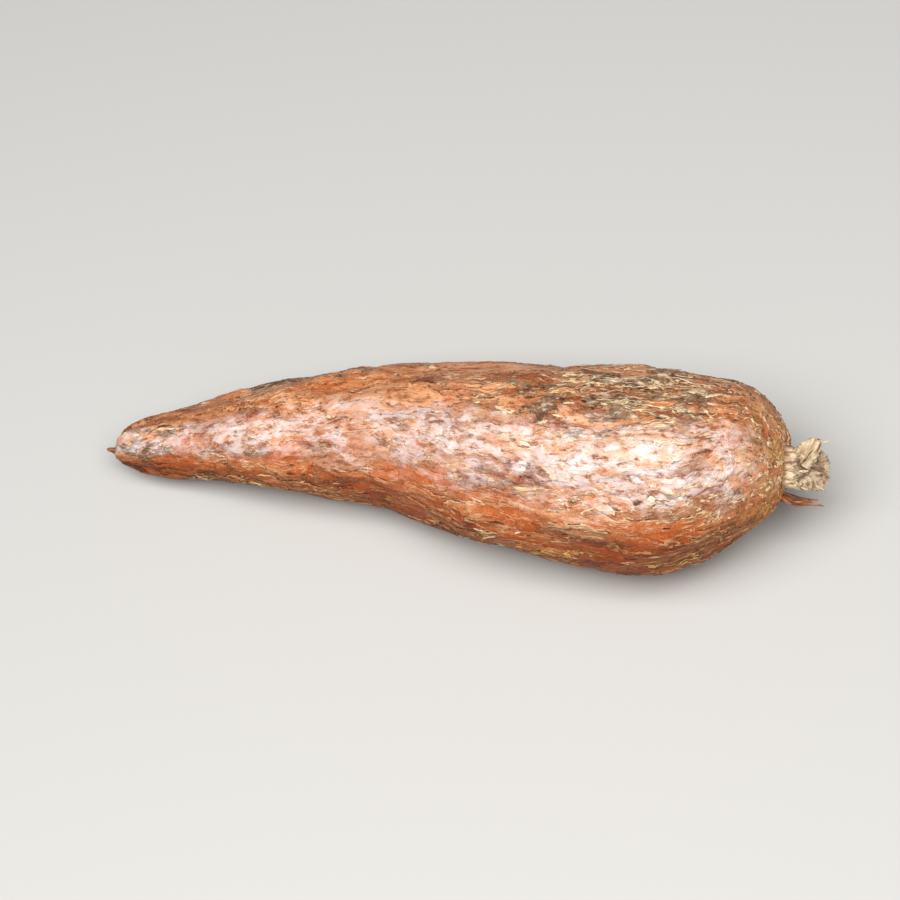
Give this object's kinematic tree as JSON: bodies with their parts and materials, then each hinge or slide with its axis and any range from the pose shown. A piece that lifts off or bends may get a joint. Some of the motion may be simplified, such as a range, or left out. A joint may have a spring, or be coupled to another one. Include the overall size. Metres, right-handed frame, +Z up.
{
  "type": "cassava root",
  "caption": "Cassava root lying on its side: a long tapering body in waxed, flaking brown bark, a blunt tail, and a snapped woody neck at the thick end.",
  "frame": {"origin": "on the surface the root lies on, under the middle of its bounding box", "axes": "+X along the root from its tail to its neck, +Z up, +Y to its left seen from the tail"},
  "size_m": [0.2188, 0.0598, 0.0573],
  "materials": {
    "bark": "thin corky bark, cracked and flaking along the root, under a thin coat of food wax",
    "torn_wood": "dry torn wood fibres, matt"
  },
  "bodies": {
    "root": {"cassava_root": "bark"}
  },
  "joints": []
}
